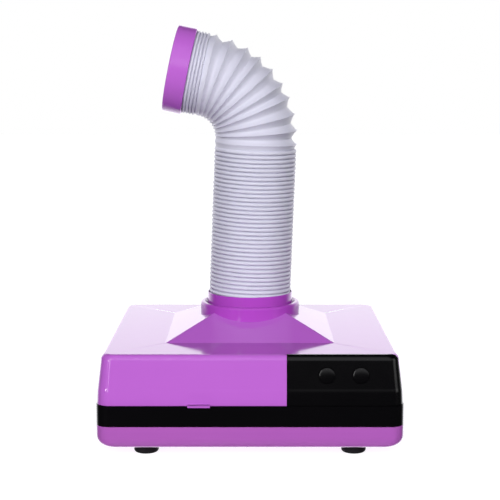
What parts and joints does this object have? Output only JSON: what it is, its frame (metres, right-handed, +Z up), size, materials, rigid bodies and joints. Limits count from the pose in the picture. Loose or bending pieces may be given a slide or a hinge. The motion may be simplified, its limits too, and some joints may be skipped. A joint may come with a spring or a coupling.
{
  "type": "nail dust collector",
  "caption": "Square desk dust collector with a pull-out dust drawer, control panel, inner fan and a bellows suction hose that turns, stretches and bends.",
  "frame": {"origin": "centre of the footprint, on the surface that the feet stand on", "axes": "+X to the user's right, -Y towards the user (the drawer and panel side), +Z up"},
  "size_m": [0.274, 0.2772, 0.3862],
  "materials": {
    "purple_abs": "glossy injection-moulded purple ABS",
    "black_abs": "satin black ABS",
    "grey_plastic": "grey moulded polypropylene",
    "rubber": "black rubber",
    "steel": "zinc-plated steel",
    "circuit_board": "solder mask",
    "electronic_parts": "tape-wrapped transformer and capacitor sleeves",
    "filter_paper": "pleated filter paper",
    "hose_white": "satin white bellows plastic with a lavender tint"
  },
  "bodies": {
    "housing": {"base_pan": "purple_abs", "mid_frame": "black_abs", "top_housing": "purple_abs", "control_panel": "black_abs", "collar": "purple_abs", "inlet_chute": "grey_plastic", "tray_seal": "rubber", "foot_front_left": "rubber", "foot_front_right": "rubber", "foot_rear_left": "rubber", "foot_rear_right": "rubber", "drawer_rail_left": "grey_plastic", "drawer_rail_right": "grey_plastic", "motor": "steel", "motor_pads": "rubber", "motor_screws": "steel", "scroll_casing": "black_abs", "scroll_cover": "black_abs", "scroll_screws": "steel", "exhaust_grille": "black_abs", "power_board": "circuit_board", "board_parts": "electronic_parts", "board_screws": "steel", "power_socket": "black_abs", "control_board": "circuit_board", "tact_switches": "steel", "control_screws": "steel", "base_screws": "steel", "top_screws": "steel"},
    "drawer": {"drawer_front": "purple_abs", "drawer_tray": "grey_plastic", "drawer_screws": "steel", "filter_frame": "grey_plastic", "filter_media": "filter_paper"},
    "power_button": {"power_button": "black_abs"},
    "speed_button": {"speed_button": "black_abs"},
    "rotor": {"impeller": "grey_plastic", "motor_shaft": "steel", "impeller_nut": "steel"},
    "hose_base": {"hose_cuff": "purple_abs", "hose_trunk": "hose_white"},
    "hose_middle": {"hose_elbow": "hose_white"},
    "nozzle": {"nozzle_ring": "purple_abs"}
  },
  "joints": [
    {"name": "drawer_slide", "type": "slide", "parent": "housing", "child": "drawer", "axis": [0, -1, 0], "range_m": [0, 0.15]},
    {"name": "power_press", "type": "slide", "parent": "housing", "child": "power_button", "axis": [0, 0.9942, -0.1071], "range_m": [0, 0.0012], "stiffness_N_per_m": 600},
    {"name": "speed_press", "type": "slide", "parent": "housing", "child": "speed_button", "axis": [0, 0.9942, -0.1071], "range_m": [0, 0.0012], "stiffness_N_per_m": 600},
    {"name": "rotor_spin", "type": "hinge", "parent": "housing", "child": "rotor", "pos_m": [0.08, 0.02, 0.05], "axis": [0, 0, 1], "continuous": true},
    {"name": "hose_swivel", "type": "hinge", "parent": "housing", "child": "hose_base", "pos_m": [0, 0, 0.11], "axis": [0, 0, 1], "continuous": true},
    {"name": "hose_stretch", "type": "slide", "parent": "hose_base", "child": "hose_middle", "axis": [0.0384, 0, 0.9993], "range_m": [0, 0.18], "deforming": ["hose_trunk"]},
    {"name": "hose_bend", "type": "hinge", "parent": "hose_middle", "child": "nozzle", "pos_m": [-0.00688, 0, 0.31692], "axis": [0, 1, 0], "range_deg": [-30, 80], "deforming": ["hose_elbow"]}
  ]
}
